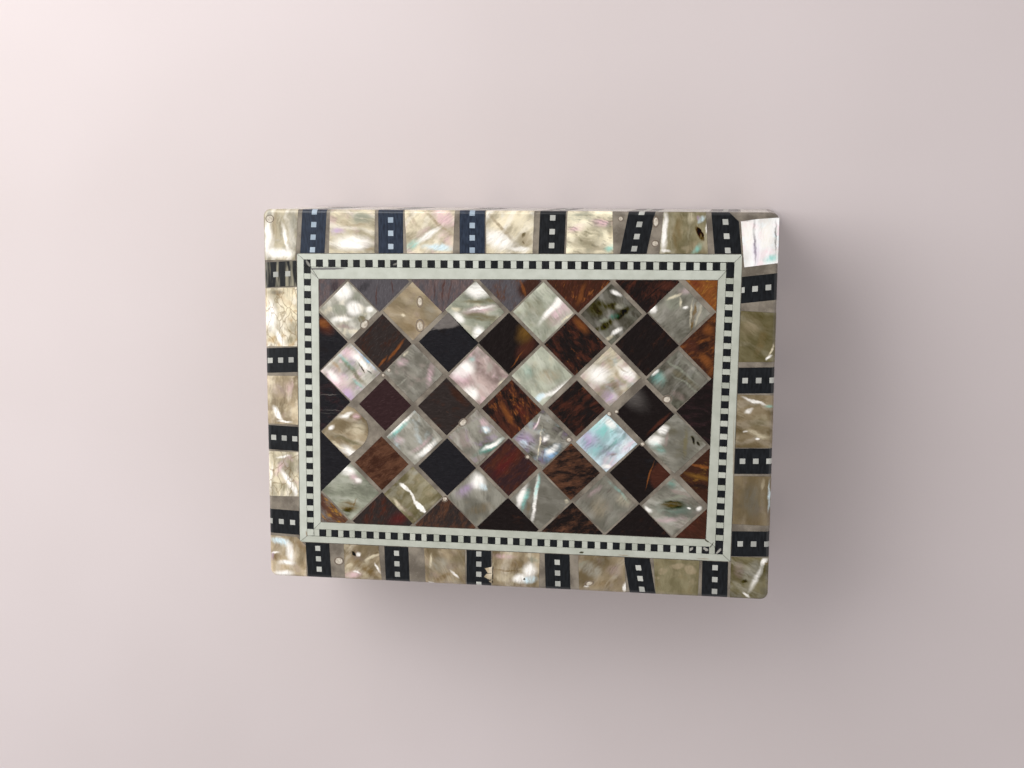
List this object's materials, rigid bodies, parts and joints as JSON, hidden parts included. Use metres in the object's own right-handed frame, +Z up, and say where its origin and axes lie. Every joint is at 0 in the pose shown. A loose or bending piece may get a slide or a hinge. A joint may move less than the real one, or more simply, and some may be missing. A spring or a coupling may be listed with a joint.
{
  "type": "shell box",
  "caption": "Rectangular wooden box with a lift-off lid, covered with mother-of-pearl, tortoiseshell squares, ebony strips and chequered bone banding.",
  "frame": {"origin": "the middle of the box's underside, on the surface that it stands on", "axes": "+X along the length, to the right as seen from the front; +Y to the back; +Z up, out of the inlaid lid"},
  "size_m": [0.152, 0.113, 0.05],
  "materials": {
    "wood": "bare, oiled hardwood, satin",
    "resin_ground": "grey-beige translucent resin ground, polished",
    "pearl": "mother-of-pearl, polished and lacquered, with pink and green lustre",
    "ebony": "blue-black strip with small white squares, satin lacquer",
    "bone": "cool white bone, satin lacquer",
    "tortoiseshell": "dark red-brown tortoiseshell with amber streaks, polished"
  },
  "bodies": {
    "root": {"pearl_square_1_1": "pearl", "pearl_square_1_2": "pearl", "pearl_square_1_3": "pearl", "pearl_square_1_4": "pearl", "pearl_square_1_5": "pearl", "pearl_square_1_6": "pearl", "pearl_square_2_1": "pearl", "pearl_square_2_2": "pearl", "pearl_square_2_3": "pearl", "pearl_square_2_4": "pearl", "pearl_square_2_5": "pearl", "pearl_square_2_6": "pearl", "pearl_square_3_1": "pearl", "pearl_square_3_2": "pearl", "pearl_square_3_3": "pearl", "pearl_square_3_4": "pearl", "pearl_square_3_5": "pearl", "pearl_square_3_6": "pearl", "pearl_square_4_1": "pearl", "pearl_square_4_2": "pearl", "pearl_square_4_3": "pearl", "pearl_square_4_4": "pearl", "pearl_square_4_5": "pearl", "pearl_square_4_6": "pearl", "ebony_strip_back_1": "ebony", "ebony_strip_back_2": "ebony", "ebony_strip_back_3": "ebony", "ebony_strip_back_4": "ebony", "ebony_strip_back_5": "ebony", "ebony_strip_back_6": "ebony", "ebony_strip_front_1": "ebony", "ebony_strip_front_2": "ebony", "ebony_strip_front_3": "ebony", "ebony_strip_front_4": "ebony", "ebony_strip_front_5": "ebony", "ebony_strip_front_6": "ebony", "ebony_strip_left_1": "ebony", "ebony_strip_left_2": "ebony", "ebony_strip_left_3": "ebony", "ebony_strip_left_4": "ebony", "ebony_strip_right_1": "ebony", "ebony_strip_right_2": "ebony", "ebony_strip_right_3": "ebony", "ebony_strip_right_4": "ebony", "banding_front": "bone", "banding_right": "bone", "banding_back": "bone", "banding_left": "bone", "bottom_board": "wood", "front_wall": "wood", "back_wall": "wood", "left_wall": "wood", "right_wall": "wood", "lid_board": "wood", "front_skin": "resin_ground", "back_skin": "resin_ground", "left_skin": "resin_ground", "right_skin": "resin_ground", "lid_ground": "resin_ground"}
  },
  "joints": []
}
